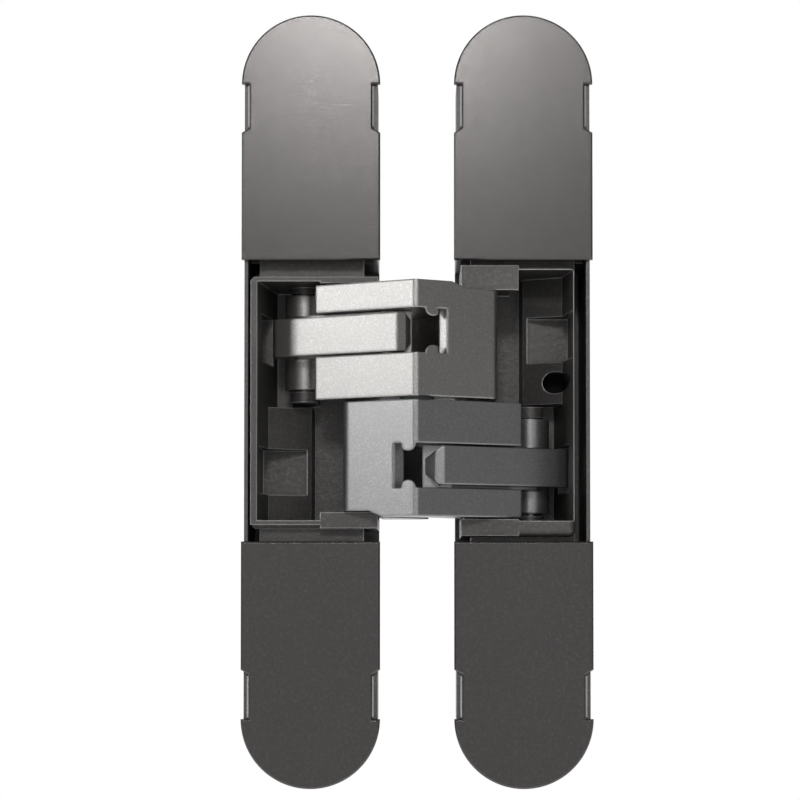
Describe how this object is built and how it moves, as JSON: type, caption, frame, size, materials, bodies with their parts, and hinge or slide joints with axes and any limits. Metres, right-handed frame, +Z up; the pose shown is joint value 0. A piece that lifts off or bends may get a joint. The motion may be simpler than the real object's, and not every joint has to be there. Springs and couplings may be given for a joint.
{
  "type": "concealed door hinge",
  "caption": "Concealed invisible door hinge: two narrow round-ended leaves joined by a folding linkage of crossed forked arms and levers, shown open flat.",
  "frame": {"origin": "centre of the left leaf's four fixing holes, half way through the flange under the covers", "axes": "+X from the left leaf to the right leaf with the hinge lying open, -Y out of the leaves' faces, +Z up along the pivots"},
  "size_m": [0.0608, 0.0326, 0.134],
  "materials": {
    "housing": "satin dark graphite coat on a casting",
    "cover": "fine-grained satin graphite coat",
    "carrier": "satin dark coat on a rough casting",
    "arm": "sparkling silver-grey metallic coat",
    "lever": "sparkling silver-grey metallic coat",
    "steel": "plain steel",
    "bushing": "matt"
  },
  "bodies": {
    "left_leaf": {"left_housing": "housing", "left_top_cover": "cover", "left_bottom_cover": "cover", "left_clamp_screws": "steel", "left_clamp_washers": "steel"},
    "left_cup": {"left_carrier": "carrier", "left_main_pin": "steel", "left_lever_pin": "steel"},
    "lower_arm": {"lower_arm": "arm", "lower_eye_pin": "steel", "centre_pin": "steel", "centre_washer": "bushing"},
    "upper_arm": {"upper_arm": "arm", "upper_eye_pin": "steel"},
    "upper_lever": {"upper_lever": "lever"},
    "lower_lever": {"lower_lever": "lever"},
    "right_cup": {"right_carrier": "carrier", "right_main_pin": "steel", "right_lever_pin": "steel"},
    "right_leaf": {"right_housing": "housing", "right_top_cover": "cover", "right_bottom_cover": "cover", "right_clamp_screws": "steel", "right_clamp_washers": "steel"}
  },
  "joints": [
    {"name": "height_adjustment", "type": "slide", "parent": "left_leaf", "child": "left_cup", "axis": [0, 0, 1], "range_m": [-0.0023, 0.0023]},
    {"name": "fold", "type": "hinge", "parent": "left_cup", "child": "lower_arm", "pos_m": [0.0084, 0.0125, 0], "axis": [0, 0, -1], "range_deg": [0, 59.58]},
    {"name": "centre_fold", "type": "hinge", "parent": "lower_arm", "child": "upper_arm", "pos_m": [0.0184, -0.0082, 0], "axis": [0, 0, -1], "range_deg": [0, 60.9]},
    {"name": "far_fold", "type": "hinge", "parent": "upper_arm", "child": "right_cup", "pos_m": [0.0284, 0.0125, 0], "axis": [0, 0, -1], "range_deg": [0, 59.6]},
    {"name": "upper_lever_turn", "type": "hinge", "parent": "left_cup", "child": "upper_lever", "pos_m": [-0.0016, 0.0085, 0], "axis": [0, 0, -1], "range_deg": [0, 28.9]},
    {"name": "lower_lever_turn", "type": "hinge", "parent": "right_cup", "child": "lower_lever", "pos_m": [0.0384, 0.0085, 0], "axis": [0, 0, 1], "range_deg": [0, 28.9]},
    {"name": "side_adjustment", "type": "slide", "parent": "right_cup", "child": "right_leaf", "axis": [1, 0, 0], "range_m": [-0.0011, 0.0011]}
  ],
  "couplings": [
    {"joint": "centre_fold", "follows": "fold", "ratio": 1.0211},
    {"joint": "far_fold", "follows": "fold", "ratio": 1},
    {"joint": "upper_lever_turn", "follows": "fold", "ratio": 0.4834},
    {"joint": "lower_lever_turn", "follows": "fold", "ratio": 0.4834}
  ]
}
